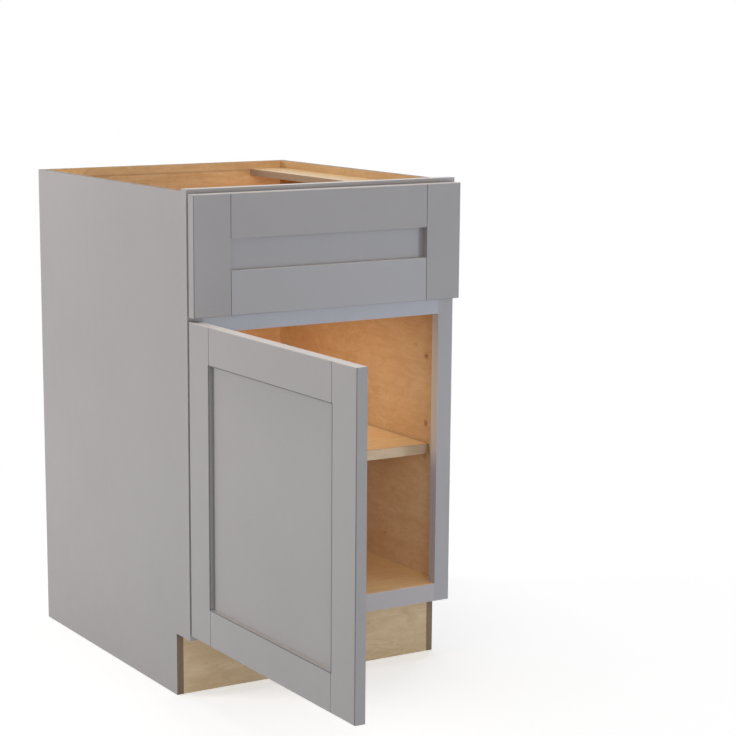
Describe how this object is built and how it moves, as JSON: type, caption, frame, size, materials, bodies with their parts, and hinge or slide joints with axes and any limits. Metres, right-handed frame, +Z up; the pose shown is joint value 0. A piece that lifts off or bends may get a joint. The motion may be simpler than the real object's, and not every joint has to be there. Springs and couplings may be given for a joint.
{
  "type": "kitchen base cabinet",
  "caption": "Framed kitchen base cabinet in gray paint over birch plywood, with a drawer over a recessed panel door and an adjustable shelf inside.",
  "frame": {"origin": "floor level, middle of the cabinet's width, at the back panel's outer face", "axes": "+X to the right seen from the front, +Y towards the wall behind the cabinet, +Z up; the front faces -Y"},
  "size_m": [0.5321, 1.1439, 0.8813],
  "materials": {
    "painted_front": "smooth gray paint on solid wood, satin",
    "painted_frame": "smooth gray paint on solid wood, satin",
    "painted_side": "gray painted face outside, clear finished birch plywood inside",
    "birch_ply": "clear finished birch plywood",
    "raw_ply": "unfinished birch plywood",
    "drawer_wood": "clear finished solid birch with dovetails",
    "shelf_band": "birch edge strip, clear finish",
    "zinc_steel": "bright zinc plate",
    "nickel_steel": "satin nickel plate",
    "screw_steel": "zinc plate",
    "latch_plastic": "moulded, fine grain",
    "clip_plastic": "moulded, pale and slightly translucent",
    "soft_bumper": "clear soft bumper"
  },
  "bodies": {
    "cabinet": {"adjustable_shelf": "birch_ply", "back_panel": "birch_ply", "bottom_deck": "birch_ply", "frame_rail_bottom": "painted_frame", "frame_rail_middle": "painted_frame", "frame_rail_top": "painted_frame", "frame_stile_left": "painted_frame", "frame_stile_right": "painted_frame", "hinge_arm_lower": "nickel_steel", "hinge_arm_upper": "nickel_steel", "hinge_frame_screws": "screw_steel", "shelf_edge_band": "shelf_band", "shelf_supports": "clip_plastic", "side_panel_left": "painted_side", "side_panel_right": "painted_side", "slide_cabinet_member_left": "zinc_steel", "slide_cabinet_member_right": "zinc_steel", "slide_rear_bracket_left": "zinc_steel", "slide_rear_bracket_right": "zinc_steel", "slide_screws": "screw_steel", "toe_board": "raw_ply", "top_brace_left": "birch_ply", "top_brace_right": "birch_ply"},
    "door": {"door_bumpers": "soft_bumper", "door_panel": "painted_front", "door_rail_bottom": "painted_front", "door_rail_top": "painted_front", "door_stile_left": "painted_front", "door_stile_right": "painted_front", "hinge_cup_lower": "nickel_steel", "hinge_cup_screws": "screw_steel", "hinge_cup_upper": "nickel_steel", "hinge_pins": "nickel_steel"},
    "drawer": {"drawer_bottom": "drawer_wood", "drawer_box_back": "drawer_wood", "drawer_box_front": "drawer_wood", "drawer_bumpers": "soft_bumper", "drawer_front_panel": "painted_front", "drawer_front_rail_bottom": "painted_front", "drawer_front_rail_top": "painted_front", "drawer_front_screws": "screw_steel", "drawer_front_stile_left": "painted_front", "drawer_front_stile_right": "painted_front", "drawer_side_left": "drawer_wood", "drawer_side_right": "drawer_wood", "slide_drawer_member_left": "zinc_steel", "slide_drawer_member_right": "zinc_steel", "slide_latch_left": "latch_plastic", "slide_latch_right": "latch_plastic"},
    "slide_middle_left": {"slide_middle_member_left": "zinc_steel"},
    "slide_middle_right": {"slide_middle_member_right": "zinc_steel"}
  },
  "joints": [
    {"name": "door_hinge", "type": "hinge", "parent": "cabinet", "child": "door", "pos_m": [-0.257, -0.6226, 0.39205], "axis": [0, 0, -1], "range_deg": [-90, 15]},
    {"name": "drawer_slide", "type": "slide", "parent": "cabinet", "child": "drawer", "axis": [0, -1, 0], "range_m": [0, 0.5334]},
    {"name": "middle_slide_left", "type": "slide", "parent": "cabinet", "child": "slide_middle_left", "axis": [0, -1, 0], "range_m": [0, 0.2667]},
    {"name": "middle_slide_right", "type": "slide", "parent": "cabinet", "child": "slide_middle_right", "axis": [0, -1, 0], "range_m": [0, 0.2667]}
  ],
  "couplings": [
    {"joint": "middle_slide_left", "follows": "drawer_slide", "ratio": 0.5},
    {"joint": "middle_slide_right", "follows": "drawer_slide", "ratio": 0.5}
  ]
}
